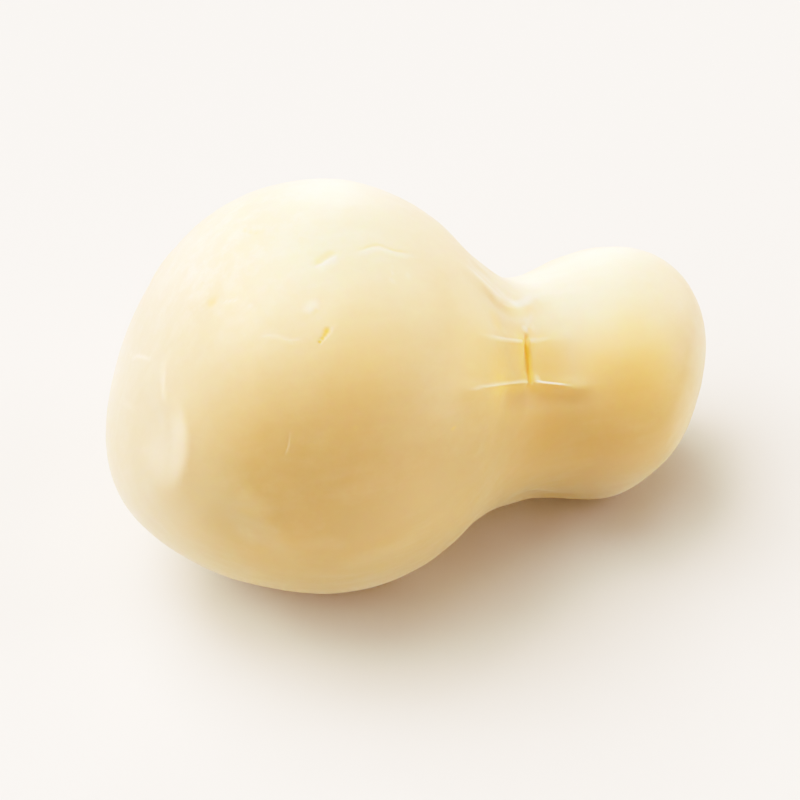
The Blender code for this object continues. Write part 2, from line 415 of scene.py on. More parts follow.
upper_left = seen_line((474, 331.5), (485, 335), (497.4, 337.8), (508.9, 339.4), (524, 341))
mark(pale_and_highlight, fold(upper_left, 0.22, left=0.45, right=0.8, fades=(0.5, 0.05)), 0.55)
upper_right = seen_line((529, 340.5), (537, 339.8), (547.5, 338), (560, 335))
mark(pale_and_highlight, fold(upper_right, 0.16, left=0.8, right=0.9, fades=(0.05, 0.6)), 0.4)

# the solid's own ridges are rounder than the lower pinch, so they are lowered before it is laid on them
left_ridge = seen_line((470, 390), (500, 384.5), (524, 381))
right_ridge = seen_line((530, 381), (550, 383), (572, 387))
for ridge in (left_ridge, right_ridge):
    fold(ridge, -0.22, left=1.7, right=1.2)
lower_left = seen_line((462, 392), (474, 389.3), (485.9, 387), (504.3, 384.4), (520.4, 382.6), (529, 382.2))
mark(pale_and_highlight, fold(lower_left, 0.30, left=0.9, right=0.30, crisp=True, fades=(0.3, 0.05)), 0.7)
lower_right = seen_line((533, 381), (544, 382.3), (554, 383.4), (564, 384.6), (577, 386.6))
mark(pale_and_highlight, fold(lower_right, 0.55, left=0.45, right=0.35, fades=(0.10, 0.5)), 1.0)
# painted shade under the lower pinch
under_lower = seen_line((486, 391.5), (500, 388.5), (515, 386.5), (530, 386), (546, 388), (566, 391))
mark(creases_and_shade, fold(under_lower, -0.16, left=0.5, right=2.0, fades=(0.3, 0.35)), 0.28)
print("The cut is", round(Line(cut, MM).length / MM, 1), "mm long")

# %% [markdown]
# ## Folds over and under the neck
#
# Over the neck the curd was pushed back in a roll with a thin lip, and a slanting pleat runs down to it from
# the ball. Under it, a fold shows only as a thin line of light. The lip, the pleat and that line are laid in
# pale that is partly painted light, and under the lip lies a deep colour that is partly painted shade.

# %% Roll, lip and pleat
# the solid's own fold over the neck is too deep, and the ridges beside it are too high
deep_fold = seen_line((474, 274), (488, 290), (503, 304), (522, 309), (540, 306))
fold(deep_fold, 0.31, left=2.2, right=2.2)
upper_ridge = seen_line((468, 260), (483, 273), (496, 286))
lower_ridge = seen_line((496, 283), (508, 296), (522, 303))
for ridge in (upper_ridge, lower_ridge):
    fold(ridge, -0.19, left=2.2, right=2.2)

lip = seen_line((500, 301), (511, 304.5), (522, 303.5), (530, 299.5), (537, 294))
mark(pale_and_highlight, fold(lip, 0.16, left=1.6, right=1.2, fades=(0.4, 0.4)), 1.0)
# painted shade under the lip
under_lip = seen_line((490, 300), (500, 306), (512, 310.5), (527, 309.5), (545, 302))
mark(creases_and_shade, fold(under_lip, 0.20, left=1.0, right=2.4, fades=(0.4, 0.4)), 0.28)
pleat = seen_line((462, 265), (474, 273), (484, 283), (495, 296), (506, 305))
mark(pale_and_highlight, fold(pleat, 0.14, left=1.2, right=2.4, fades=(0.4, 0.2)), 0.55)
above_cut = seen_line((524.5, 331), (528, 322), (532, 312))
mark(pale_and_highlight, fold(above_cut, 0.10, left=1.2, right=1.2), 0.5)

under_neck = seen_line((521, 493), (533, 489.5), (546, 490.5), (560, 492))
mark(pale_and_highlight, fold(under_neck, 0.25, left=0.7, right=0.4, crisp=True), 0.4)
print("The folds rise", round(heights.max() / MM, 2), "and sink", round(heights.min() / MM, 2), "mm")

# %% [markdown]
# ## The blunt tail
#
# The far end of the ball was pinched shut by hand, which left a shallow dimple with the crescent of a fold
# round it, like a thumb's mark in dough, and a few thin arcs. Their pale is partly painted highlight.

# %% Crescents of the tail
crescent = seen_line((169, 396), (178.5, 409.3), (183.5, 431.6), (183, 455.6), (174, 479.5), (160, 496))
mark(pale_and_highlight, fold(crescent, 0.18, left=1.7, right=5.0, fades=(0.35, 0.45)), 0.45)
inner_ridge = seen_line((165, 355), (164, 372), (164.5, 390), (168, 408))
mark(pale_and_highlight, fold(inner_ridge, 0.10, left=0.9, right=1.3, fades=(0.45, 0.4)), 0.35)
thin_arc = seen_line((126, 354), (142.8, 356.5), (157, 360.2))
mark(pale_and_highlight, fold(thin_arc, 0.07, left=0.4, right=0.8), 0.45)
hollow = seen_line((140, 390), (150, 405), (158, 420), (160, 440))
fold(hollow, -0.12, left=2.0, right=1.6)
faint_arc = seen_line((116, 398), (127, 404), (138, 412))
mark(pale_and_highlight, fold(faint_arc, 0.05, left=1.2, right=1.2), 0.12)
thumb = seen_line((150, 415), (158, 440), (158, 465), (150, 490))
mark(pale_and_highlight, fold(thumb, 0.05, left=8.0, right=12.0, fades=(0.5, 0.5)), 0.25)
print("The crescent is", round(Line(crescent, MM).length / MM, 1), "mm long")

# %% [markdown]
# ## Tears and pits on the ball
#
# Near the top the skin tore as it was stretched: a short wedge with a pale lip under it, a longer flap line
# beside it, a steep little pit made of four in a row, and a wider one to its left. A tear is a groove with a
# lip on one side. A few ridges as thin as hairs and a curl of dried skin lie round them. The pale on the lips
# and ridges is partly painted highlight, and the deep colour in the tears and pits partly painted shade.

# %% Tears, flaps and pits
tear = seen_line((314, 266), (320, 261.5), (327, 255.5), (337, 250))
mark(creases_and_shade, fold(tear, -0.22, left=1.3, right=0.9, fades=(0.3, 0.2)), 0.30)
tear_lip = seen_line((314, 270), (322, 264), (330, 259.5), (340, 256))
mark(pale_and_highlight, fold(tear_lip, 0.22, left=0.5, right=2.2), 0.9)

flap = seen_line((352, 251), (362.2, 248), (372, 245), (380, 244.3), (388, 247.5), (397, 250.1), (417, 253))
mark(creases_and_shade, fold(flap, -0.10, left=0.5, right=0.4), 0.25)
under_flap = seen_line((350, 255), (362, 251.5), (376, 248.5), (388, 251), (400, 254), (420, 257))
mark(pale_and_highlight, fold(under_flap, 0.13, left=0.6, right=1.5), 0.55)

# each pit of the row is a pixel and its width
ROW_OF_PITS = ((327, 331.5, 0.95), (325, 335, 0.80), (322.5, 338.5, 0.60), (320, 342, 0.45))
for column, row, width in ROW_OF_PITS:
    mark(creases_and_shade, knob(seen_at(column, row)[0], -0.22, width), 0.75)
beside_pits = seen_line((330, 336), (333, 329), (340, 322))
mark(pale_and_highlight, fold(beside_pits, 0.06, left=0.6, right=0.6), 0.15)
curl = seen_line((255, 338), (266, 336), (276, 336), (290, 340.5), (306, 338.5))
mark(pale_and_highlight, fold(curl, 0.11, left=0.5, right=0.9), 0.3)

WIDE_PIT = (212, 303)
mark(creases_and_shade, knob(seen_at(*WIDE_PIT)[0], -0.30, width=1.7), 0.35)
flake = seen_line((222, 302), (231, 301), (242, 301))
mark(pale_and_highlight, fold(flake, 0.18, left=0.45, right=0.6), 0.6)
next_flake = seen_line((248, 303), (252, 307), (257, 312))
mark(pale_and_highlight, fold(next_flake, 0.14, left=0.4, right=0.5), 0.5)
top_groove = seen_line((238, 230), (250, 231), (266, 233))
mark(creases_and_shade, fold(top_groove, -0.16, left=0.7, right=0.7), 0.35)
short_ridge = seen_line((306, 316), (311, 308), (319, 300))
mark(pale_and_highlight, fold(short_ridge, 0.20, left=1.6, right=1.2), 0.7)
left_hair = seen_line((392, 261), (392.5, 275), (392, 289))
right_hair = seen_line((407, 269), (408, 279), (407, 289))
for hair in (left_hair, right_hair):
    mark(pale_and_highlight, fold(hair, 0.07, left=0.35, right=0.35), 0.5)
print("Deepest so far:", round(-heights.min() / MM, 2), "mm")

# %% [markdown]
# ## Scratches and soft folds on the front
#
# The front is almost plain. A fingernail's scratch trails down it, there are three specks, and low down the
# curd lies in long soft folds that only the light gives away. A broad swell runs down past the row of pits.
# The faint pale on the scratch and the folds is partly painted highlight, and the deep colour in the specks
# and the dip is painted shade.

# %% Scratch, specks and low folds
scratch = seen_line((290.2, 428), (289.6, 437), (288, 447), (284.5, 457))
mark(pale_and_highlight, fold(scratch, -0.12, left=0.25, right=0.3, fades=(0.6, 0.3)), 0.4)
SPECKS = ((455, 429), (357, 428), (372, 431))
for column, row in SPECKS:
    mark(creases_and_shade, knob(seen_at(column, row)[0], -0.12, width=0.45), 0.6)

left_fold = seen_line((232, 492), (248, 497), (262, 504), (280, 514))
mark(pale_and_highlight, fold(left_fold, 0.14, left=2.4, right=3.2), 0.10)
left_dip = seen_line((228, 507), (242, 509), (258, 514))
mark(creases_and_shade, fold(left_dip, -0.10, left=1.6, right=1.6), 0.08)
low_left_fold = seen_line((232, 524), (246, 532), (262, 545))
mark(pale_and_highlight, fold(low_left_fold, 0.11, left=2.4, right=3.0), 0.07)
middle_fold = seen_line((292, 545), (325, 541), (355, 545))
mark(pale_and_highlight, fold(middle_fold, 0.12, left=3.0, right=3.0), 0.07)
long_fold = seen_line((330, 563), (372, 552), (405, 537), (434, 516))
mark(pale_and_highlight, fold(long_fold, 0.14, left=3.2, right=3.8), 0.07)
lowest_fold = seen_line((300, 570), (330, 574), (366, 570))
mark(pale_and_highlight, fold(lowest_fold, 0.08, left=2.0, right=2.0), 0.05)
swell = seen_line((352, 275), (344, 296), (334, 318), (312, 346))
fold(swell, 0.22, left=5.5, right=4.0)
print("Scratches and low folds added")

# %% [markdown]
# ## The far side and the underside
#
# The picture doesn't show them. The string went all the way round, so its mark is taken on in broken
# stretches with pinches beside it, and the ball gets a few folds and pits like those in front, because a
# cheese made by hand isn't plainer on the side turned away. Their pale and deep colours are partly painted
# highlight and painted shade, as in front.

# %% Marks behind and below
# the string's mark and its pinches, behind and then below
cut_behind = round_line((19.9, -76), (18.9, -90), (17.4, -104), (15.8, -118))
mark(creases_and_shade, fold(cut_behind, -0.40, left=0.7, right=0.9), 0.55)
pinch_behind = round_line((3, -74), (10, -73), (18, -72), (27, -70))
mark(pale_and_highlight, fold(pinch_behind, 0.28, left=1.3, right=0.9), 0.4)
low_pinch_behind = round_line((5, -112), (12, -116), (20, -117), (28, -115))
mark(pale_and_highlight, fold(low_pinch_behind, 0.28, left=0.9, right=1.3), 0.4)
cut_below = round_line((13, 168), (12.5, 180), (12.8, 192))
mark(creases_and_shade, fold(cut_below, -0.45, left=0.6, right=0.6), 0.6)
pinch_below = round_line((3, 150), (10, 146), (19, 147))
mark(pale_and_highlight, fold(pinch_below, 0.30, left=0.8, right=0.5), 0.5)

# folds, a tear and a pit on the back of the ball
high_fold_behind = round_line((-50, -40), (-40, -52), (-32, -60), (-24, -58))
mark(pale_and_highlight, fold(high_fold_behind, 0.22, left=1.2, right=2.6), 0.25)
tear_behind = round_line((-30, -78), (-25, -82), (-21, -84))
mark(creases_and_shade, fold(tear_behind, -0.35, left=0.8, right=1.3), 0.45)
tear_lip_behind = round_line((-31, -80), (-25, -84.5), (-20, -86.5))
mark(pale_and_highlight, fold(tear_lip_behind, 0.24, left=0.5, right=1.3), 0.45)
broad_fold_behind = round_line((-45, -95), (-34, -104), (-22, -106), (-10, -101))
mark(pale_and_highlight, fold(broad_fold_behind, 0.26, left=2.4, right=3.6), 0.15)
low_fold_behind = round_line((-40, -120), (-28, -126), (-12, -124))
mark(pale_and_highlight, fold(low_fold_behind, 0.24, left=2.2, right=3.2), 0.12)
pit_behind, _ = round_at(-8, -62)
mark(creases_and_shade, knob(pit_behind, -0.30, width=1.3), 0.4)

# a fold on the back of the neck, and a fold and a pit on the back of the head
neck_fold = round_line((-4, -60), (2, -55), (7, -48))
mark(pale_and_highlight, fold(neck_fold, 0.14, left=1.0, right=1.6), 0.25)
head_fold = round_line((36, -60), (44, -66), (52, -80))
mark(pale_and_highlight, fold(head_fold, 0.20, left=1.4, right=2.4), 0.2)
head_pit, _ = round_at(47, -95)
mark(creases_and_shade, knob(head_pit, -0.25, width=0.9), 0.5)
print("Marks behind and below added")

# %% [markdown]
# ## Lumps and pulled fibres
#
# No hand-shaped curd is truly round. Four layers of noise are added to the height map: broad lumps, smaller
# ones like knuckles, flakes that are strongest on the upper left of the ball, and fine fibres that run
# lengthways, as the curd was pulled. The noise is Blender's own, which gives the same lumps each time.

# %% Add lumps and fibres
# sizes and rises in mm
LUMP_SIZE, LUMP_RISE = 21.0, 0.32
KNUCKLE_SIZE, KNUCKLE_RISE = 8.5, 0.085
FLAKE_WIDTH, FLAKE_RISE = 3.0, 0.11
FLAKE_LENGTH = 1.6 * FLAKE_WIDTH
FIBRE_LENGTH, FIBRE_WIDTH, FIBRE_RISE = 16.0, 2.1, 0.030
FLAKY_PIXEL, FLAKY_REACH = (228, 235), 18.0
FLAKES_ELSEWHERE = 0.15  # the share of the flakes' rise that is left away from the flaky patch
OCTAVE_FALL, OCTAVE_STEP = 1.0, 2.0  # each octave of noise is twice as fine as the last and half as strong


def layer(lengths, seed, octaves=2):
    """Noise from -1 to 1 at every point, with its grain stretched to the lengths along X, Y and Z."""
    grid = points / (np.array(lengths) * MM) + seed
    return np.array([noise.fractal(Vector(spot), OCTAVE_FALL, OCTAVE_STEP, octaves) for spot in grid])


def patch(place, reach):
    """1 at a place, falling softly all round. About a third is left at its reach, which is in mm."""
    away = np.linalg.norm(points - np.array(place), axis=1)
    return np.exp(-((away / (reach * MM)) ** 2))


lumps = layer((LUMP_SIZE, LUMP_SIZE, LUMP_SIZE), seed=3.7, octaves=1)
knuckles = layer((KNUCKLE_SIZE, KNUCKLE_SIZE, KNUCKLE_SIZE), seed=11.3)
flakes = layer((FLAKE_LENGTH, FLAKE_WIDTH, FLAKE_WIDTH), seed=5.1)
fibres = layer((FIBRE_LENGTH, FIBRE_WIDTH, FIBRE_WIDTH), seed=8.9)

flaky = patch(seen_at(*FLAKY_PIXEL)[0], FLAKY_REACH)
flakes_share = FLAKES_ELSEWHERE + (1 - FLAKES_ELSEWHERE) * flaky
heights += lumps * LUMP_RISE * MM + knuckles * KNUCKLE_RISE * MM
heights += flakes * FLAKE_RISE * MM * flakes_share + fibres * FIBRE_RISE * MM
print("Lumps from", round(lumps.min(), 2), "to", round(lumps.max(), 2))

# %% [markdown]
# ## Pushing the heights into the mesh
#
# A Displace modifier moves points along the way they face, by a strength and a vertex group's weight. A
# weight can't be negative, so one group holds what rises and another what sinks, and two modifiers share
# the work. Next to the table nothing moves, because there the cheese lies flat, and no point may end up
# under it.

# %% Displace and apply
TABLE_FADE = 2.0 * MM

heights *= np.clip(points[:, 2] / TABLE_FADE, 0, 1)


def displace(piece, name, amounts):
    """Moves the points outwards by the amounts, which are all of one sign."""
    most = float(np.abs(amounts).max())
    group = piece.vertex_groups.new(name=name)
    for index in np.flatnonzero(np.abs(amounts) > 0):
        group.add([int(index)], abs(float(amounts[index])) / most, "REPLACE")
    strength = math.copysign(most, float(amounts.sum()))
    settings = {"strength": strength, "mid_level": 0.0, "direction": "NORMAL", "vertex_group": name}
    apply_modifier(piece, "DISPLACE", **settings)
    piece.vertex_groups.remove(piece.vertex_groups[name])


displace(cheese, "raised", np.maximum(heights, 0))
displace(cheese, "sunk", np.minimum(heights, 0))

moved = read_vectors(cheese.data.vertices, "co")
moved[:, 2] = np.maximum(moved[:, 2], 0)
cheese.data.vertices.foreach_set("co", moved.ravel())
cheese.data.update()
print("Lowest point:", round(float(moved[:, 2].min()) / MM, 2), "mm")

# %% [markdown]
# ## Patches of colour, painted light and painted shade
#
# Fresh curd is straw on its flanks. Over that, ivory is painted as light where the skin faces up and on the
# head's end, a duller colour as shade where it faces the table, and a paler one as light on the blunt tail.
# Then come broad patches with soft edges, each given by a pixel, its reach in millimetres and its share:
# golden ones where the butter shows through round the string's cut and on the head, painted warm shade under
# the neck and on the ball's front, pale ones towards the edges that are partly painted highlight, painted
# light along the top round the neck, and painted shade on the front.

# %% Lay out the patches
# painted warm shade on the front and under the head and the neck
PAINTED_WARM_SHADE_SPOTS = [
    (547, 425, 9.0, 0.9),
    (542, 403, 7.0, 0.8),
    (505, 420, 9.0, 0.5),
    (585, 450, 8.0, 0.4),
    (345, 412, 11.0, 0.5),
    (280, 430, 11.0, 0.45),
    (515, 399, 6.0, 0.95),
    (630, 383, 6.5, 0.45),
    (500, 372, 6.0, 0.3),
]
GOLD_SPOTS = [
    (524, 360, 7.0, 0.8),
    (480, 352, 10.0, 0.55),
    (546, 361, 6.5, 0.75),
    (540, 400, 7.0, 0.5),
    (496, 323, 3.0, 0.6),
    (540, 330, 7.0, 0.2),
    (470, 320, 13.0, 0.3),
    (603, 358, 7.5, 0.6),
    (630, 335, 7.0, 0.5),
    (640, 368, 10.0, 0.6),
    (372, 348, 10.0, 0.2),
    (500, 374, 7.0, 0.9),
    (513, 396, 5.0, 0.6),
]
# pale patches, partly painted highlight towards the edges
PALE_AND_HIGHLIGHT_SPOTS = [
    (505, 298, 6.0, 0.3),
    (527, 318, 4.0, 0.3),
    (575, 310, 10.0, 0.35),
    (584, 332, 7.0, 0.3),
    (400, 248, 14.0, 0.15),
    (415, 490, 12.0, 0.10),
    (615, 487, 10.0, 0.2),
    (145, 515, 10.0, 0.12),
    (190, 248, 14.0, 0.32),
    (118, 362, 9.0, 0.3),
    (702, 332, 7.0, 0.3),
]
# painted light along the top, round the neck and on the ball
PAINTED_TOP_LIGHT_SPOTS = [
    (545, 318, 9.0, 0.9),
    (518, 312, 5.0, 1.0),
    (566, 330, 7.0, 0.6),
    (470, 308, 13.0, 0.7),
    (600, 318, 9.0, 0.7),
    (405, 275, 16.0, 0.8),
]
# painted shade on the front and low down
PAINTED_SHADE_SPOTS = [
    (240, 502, 11.0, 0.9),
    (300, 462, 13.0, 0.7),
    (362, 435, 11.0, 0.4),
    (340, 520, 13.0, 0.4),
    (235, 312, 14.0, 0.2),
    (645, 402, 10.0, 0.4),
    (482, 474, 13.0, 0.5),
    (552, 440, 9.0, 0.45),
    (402, 548, 12.0, 0.4),
    (262, 455, 9.0, 0.4),
]


def grow(values, start, over):
    """0 up to the start, rising evenly to 1 over the next stretch."""
    return np.clip((values - start) / over, 0, 1)


facing_up = normals[:, 2]
towards_head = normals[:, 0]
along = points[:, 0] / MM
painted_top_light = grow(facing_up, start=0, over=1) ** 2  # painted light: 1 where the skin faces straight up, towards the lamps
painted_shade = grow(-facing_up, start=0, over=0.5)  # painted shade: 1 where it faces the table
painted_light_on_tail = grow(-towards_head, start=0.45, over=0.48)  # painted light: 1 on the blunt tail
painted_light_on_head_end = grow(towards_head, start=0.4, over=0.5) * grow(along, start=25, over=15)
mark(painted_top_light, painted_light_on_head_end, 0.4)  # the head's end gets painted light too

patches = (
    (painted_warm_shade, PAINTED_WARM_SHADE_SPOTS),
    (gold, GOLD_SPOTS),
    (pale_and_highlight, PALE_AND_HIGHLIGHT_SPOTS),
    (painted_top_light, PAINTED_TOP_LIGHT_SPOTS),
    (painted_shade, PAINTED_SHADE_SPOTS),
)
for colour, spots in patches:
    for column, row, reach, share in spots:
        mark(colour, patch(seen_at(column, row)[0], reach), share)
print(sum(len(spots) for _, spots in patches), "patches")

# %% [markdown]
# ## Keeping the marks for the colours
#
# The maps of where the skin is creased and pale, and of where light and shade are painted on it, are stored
# on the mesh as attributes, one number for each point. The material reads them, so that a torn edge is pale
# just where it stands up, from any side.

# %% Store the maps
FAINTEST = 0.05  # a share that still shows

maps = {
    "creases_and_shade": creases_and_shade,
    "pale_and_highlight": pale_and_highlight,
    "painted_warm_shade": painted_warm_shade,
    "gold": gold,
    "flaky": flaky,
    "painted_top_light": painted_top_light,
    "painted_shade": painted_shade,
    "painted_light_on_tail": painted_light_on_tail,
}
for name, values in maps.items():
    attribute = cheese.data.attributes.new(name, "FLOAT", "POINT")
    attribute.data.foreach_set("value", values.astype(np.float32))
    print(name, "covers", int((values > FAINTEST).sum()), "points")

# %% [markdown]
# ## Sums with shader nodes
#
# A material is easier to read as a sum than as a web of nodes. A Wire stands for a node's output, and adding
# or multiplying Wires adds Math nodes. Any other node comes from Bench.node, which takes its kind, its
# settings and what goes into its sockets.

# %% The bench and its wires
class Wire:
    """An output of a node that can be added, taken away and multiplied, also with plain numbers."""

    def __init__(self, bench, socket):
        self.bench = bench
        self.socket = socket

    def __add__(self, other):
        return self.bench.maths("ADD", self, other)

    def __radd__(self, other):
        return self.bench.maths("ADD", other, self)

    def __sub__(self, other):
        return self.bench.maths("SUBTRACT", self, other)

    def __rsub__(self, other):
        return self.bench.maths("SUBTRACT", other, self)

    def __mul__(self, other):
        return self.bench.maths("MULTIPLY", self, other)

    def __rmul__(self, other):
        return self.bench.maths("MULTIPLY", other, self)


# a Mix node has sockets of the same name for numbers, vectors and colours, and these are the colours'
MIX_UNDER, MIX_OVER, MIX_COLOUR = 6, 7, 2


class Bench:
    """The nodes of a material or a world."""

    def __init__(self, owner):
        self.tree = owner.node_tree

    def node(self, kind, settings, inputs, output=0):
        """Adds a node, sets it up, fills its sockets and hands back one output, all by name or number."""
        node = self.tree.nodes.new("ShaderNode" + kind)
        for name, value in settings.items():
            setattr(node, name, value)
        for name, value in inputs.items():
            if isinstance(value, Wire):
                self.tree.links.new(value.socket, node.inputs[name])
            else:
                node.inputs[name].default_value = value
        return Wire(self, node.outputs[output])

    def maths(self, operation, first, second):
        """One sum on two Wires or numbers."""
        return self.node("Math", {"operation": operation}, {0: first, 1: second})

    def blend(self, amount, under, over):
        """The colour under, covered by the colour over as far as the amount says."""
        inputs = {"Factor": amount, MIX_UNDER: under, MIX_OVER: over}
        return self.node("Mix", {"data_type": "RGBA"}, inputs, output=MIX_COLOUR)

    def grain(self, coordinates, scale, detail, roughness=0.5):
        """Noise from 0 to 1, scale grains to the metre."""
        inputs = {"Vector": coordinates, "Scale": scale, "Detail": detail, "Roughness": roughness}
        return self.node("TexNoise", {}, inputs)

    def stretch(self, coordinates, scale):
        """Coordinates times a scale along X, Y and Z."""
        return self.node("Mapping", {}, {"Vector": coordinates, "Scale": scale})

    def spread(self, value, low, high):
        """Maps low to 0 and high to 1, and holds beyond."""
        return self.node("MapRange", {}, {"Value": value, "From Min": low, "From Max": high})

    def map(self, name):
        """A map that is stored on the mesh."""
        return self.node("Attribute", {"attribute_name": name}, {}, output="Fac")


print("The bench is ready")

# %% [markdown]
# ## The colours of the curd
#
# The colours are laid over one another from the broadest to the finest. First come straw, a duller colour
# as painted shade on the underside, ivory as painted light on the top, with faint clouds and streaks of milk
# in it, and a paler colour as painted light on the tail. Then come the golden patches and the painted warm
# shade, then the chalky flakes on the upper left of the ball, and last the marks: pale lips and scratches
# with painted highlights, deep yellow cuts and pits with painted shade.

# %% Mix the colours of the curd
# painted light for the top
PAINTED_LIGHT_IVORY = (0.985, 0.865, 0.62, 1)
STRAW = (0.70, 0.475, 0.223, 1)
# painted shade
PAINTED_SHADE_COLOUR = (0.58, 0.42, 0.195, 1)
# painted light on the blunt tail
TAIL_PAINTED_LIGHT = (0.64, 0.515, 0.345, 1)
# pale, partly painted highlight
PALE_AND_HIGHLIGHT_COLOUR = (0.98, 0.90, 0.76, 1)
# deep yellow of cuts and pits, partly painted shade
DEEP_YELLOW_AND_SHADE = (0.97, 0.66, 0.13, 1)
GOLD = (0.95, 0.635, 0.22, 1)
CHALK = (0.985, 0.93, 0.80, 1)
# painted warm shade
WARM_SHADE_COLOUR = (0.67, 0.41, 0.16, 1)

# grains to the metre
CLOUD_GRAIN, FINE_CLOUD_GRAIN, FLAKE_GRAIN = 75.0, 420.0, 260.0
STREAK_GRAIN = (70.0, 420.0, 420.0)
# how much of a colour is laid where its map is 1
CHALK_SHARE, GOLD_BETWEEN_FLAKES = 0.35, 0.12
PALE_AND_HIGHLIGHT_SHARE, CREASE_AND_SHADE_SHARE = 0.75, 0.85

curd = bpy.data.materials.new("scamorza_curd_skin")
curd.use_nodes = True
bench = Bench(curd)
coordinates = bench.node("TexCoord", {}, {}, output="Object")

clouds = bench.spread(bench.grain(coordinates, CLOUD_GRAIN, detail=3.0), 0.34, 0.68)
fine_clouds = bench.spread(bench.grain(coordinates, FINE_CLOUD_GRAIN, detail=4.0, roughness=0.6), 0.35, 0.70)
pulled = bench.stretch(coordinates, STREAK_GRAIN)
streaks = bench.spread(bench.grain(pulled, 1.0, detail=3.0), 0.42, 0.74)

milky = clouds * 0.10 + fine_clouds * 0.05 + streaks * 0.05 - 0.10
# painted shade where the skin faces the table
colour = bench.blend(bench.map("painted_shade"), STRAW, PAINTED_SHADE_COLOUR)
# painted light on the top, with faint clouds of milk in it
colour = bench.blend(bench.map("painted_top_light") + milky, colour, PAINTED_LIGHT_IVORY)
# painted light on the blunt tail
colour = bench.blend(bench.map("painted_light_on_tail"), colour, TAIL_PAINTED_LIGHT)
colour = bench.blend(bench.map("gold"), colour, GOLD)
# painted warm shade, broken up by the clouds
colour = bench.blend(bench.map("painted_warm_shade") * (0.6 + clouds * 0.3), colour, WARM_SHADE_COLOUR)
flakes = bench.spread(bench.grain(coordinates, FLAKE_GRAIN, detail=4.0, roughness=0.65), 0.44, 0.64)
colour = bench.blend(bench.map("flaky") * flakes * CHALK_SHARE, colour, CHALK)
colour = bench.blend(bench.map("flaky") * (1.0 - flakes) * GOLD_BETWEEN_FLAKES, colour, GOLD)
# pale lips and scratches, partly painted highlight
colour = bench.blend(bench.map("pale_and_highlight") * PALE_AND_HIGHLIGHT_SHARE, colour, PALE_AND_HIGHLIGHT_COLOUR)
# deep yellow in cuts and pits, partly painted shade
colour = bench.blend(bench.map("creases_and_shade") * CREASE_AND_SHADE_SHARE, colour, DEEP_YELLOW_AND_SHADE)

print("The colours take", len(bench.tree.nodes), "nodes")

# %% [markdown]
# ## The moist skin
#
# Curd is milk fat and protein: light goes in, scatters, and comes out a little way off. So the whole cheese
# is subsurface scattering, with red travelling furthest. A moist skin is satin, smoother along the pulled
# streaks and drier where it is pale. A touch of sheen stands for the bloom of fat on it, which whitens the
# cheese towards its edges.

# %% Make the skin
SCATTER_REACH = 7.0 * MM
SCATTER_COLOURS = (1.0, 0.62, 0.28)
SKIN_IOR = 1.45
SHEEN, SHEEN_ROUGHNESS = 0.3, 0.4
COARSE_RELIEF_GRAIN, FINE_RELIEF_GRAIN = 260.0, 1300.0  # grains to the metre
RELIEF_STRENGTH, RELIEF_DEPTH = 0.22, 0.25 * MM

roughness = 0.50 + 0.10 * fine_clouds + 0.06 * bench.map("pale_and_highlight") - 0.08 * streaks
coarse_relief = bench.grain(coordinates, COARSE_RELIEF_GRAIN, detail=4.0, roughness=0.55)
fine_relief = bench.grain(coordinates, FINE_RELIEF_GRAIN, detail=3.0, roughness=0.6)
relief = coarse_relief * 0.9 + streaks * 0.25 + fine_relief * 0.18
bump_inputs = {"Height": relief, "Strength": RELIEF_STRENGTH, "Distance": RELIEF_DEPTH}
bumps = bench.node("Bump", {}, bump_inputs)

skin = curd.node_tree.nodes["Principled BSDF"]
skin.subsurface_method = "RANDOM_WALK"
skin.inputs["Subsurface Weight"].default_value = 1.0
skin.inputs["Subsurface Radius"].default_value = SCATTER_COLOURS
skin.inputs["Subsurface Scale"].default_value = SCATTER_REACH
skin.inputs["IOR"].default_value = SKIN_IOR
skin.inputs["Sheen Weight"].default_value = SHEEN
skin.inputs["Sheen Roughness"].default_value = SHEEN_ROUGHNESS
bench.tree.links.new(colour.socket, skin.inputs["Base Color"])
bench.tree.links.new(roughness.socket, skin.inputs["Roughness"])
bench.tree.links.new(bumps.socket, skin.inputs["Normal"])
cheese.data.materials.append(curd)

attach(cheese, "root")
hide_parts("scamorza")
print("The skin's material has", len(bench.tree.nodes), "nodes")

# %% [markdown]
# ## The table
#
# A plain sheet of pale paper, large enough that no edge shows. Nothing competes with the cheese, and the
# paper throws light back up under it, which is why its shadow is soft and warm.

# %% Lay the paper
PAPER_SIDE = 30.0
PAPER = (0.85, 0.85, 0.85, 1)
PAPER_ROUGHNESS, PAPER_SHINE = 0.9, 0.1

bpy.ops.object.select_all(action="DESELECT")
bpy.ops.mesh.primitive_plane_add(size=PAPER_SIDE, location=(0, 0, 0))
table = bpy.context.object
table.name = "paper_table"
paper = bpy.data.materials.new("pale_paper")
paper.use_nodes = True
sheet = paper.node_tree.nodes["Principled BSDF"]
sheet.inputs["Base Color"].default_value = PAPER
sheet.inputs["Roughness"].default_value = PAPER_ROUGHNESS
sheet.inputs["Specular IOR Level"].default_value = PAPER_SHINE
table.data.materials.append(paper)
print("The paper is", PAPER_SIDE, "m wide")

# %% [markdown]
# ## The light
#
# The picture is lit high-key: wide soft lights above and on the left, weaker ones on the right, a row of low
# ones behind, and nothing straight from the camera, so the top glows white and the front falls to straw. Each
# lamp is a sun with a wide disc, which is what a big softbox looks like from the table. The warm walls of the
# room throw a little light back from all round, which is all that reaches the shadow under the neck. The
# camera itself sees a wall as pale as the paper, so that a view from low down has no dark sky and no edge
# where the paper ends.

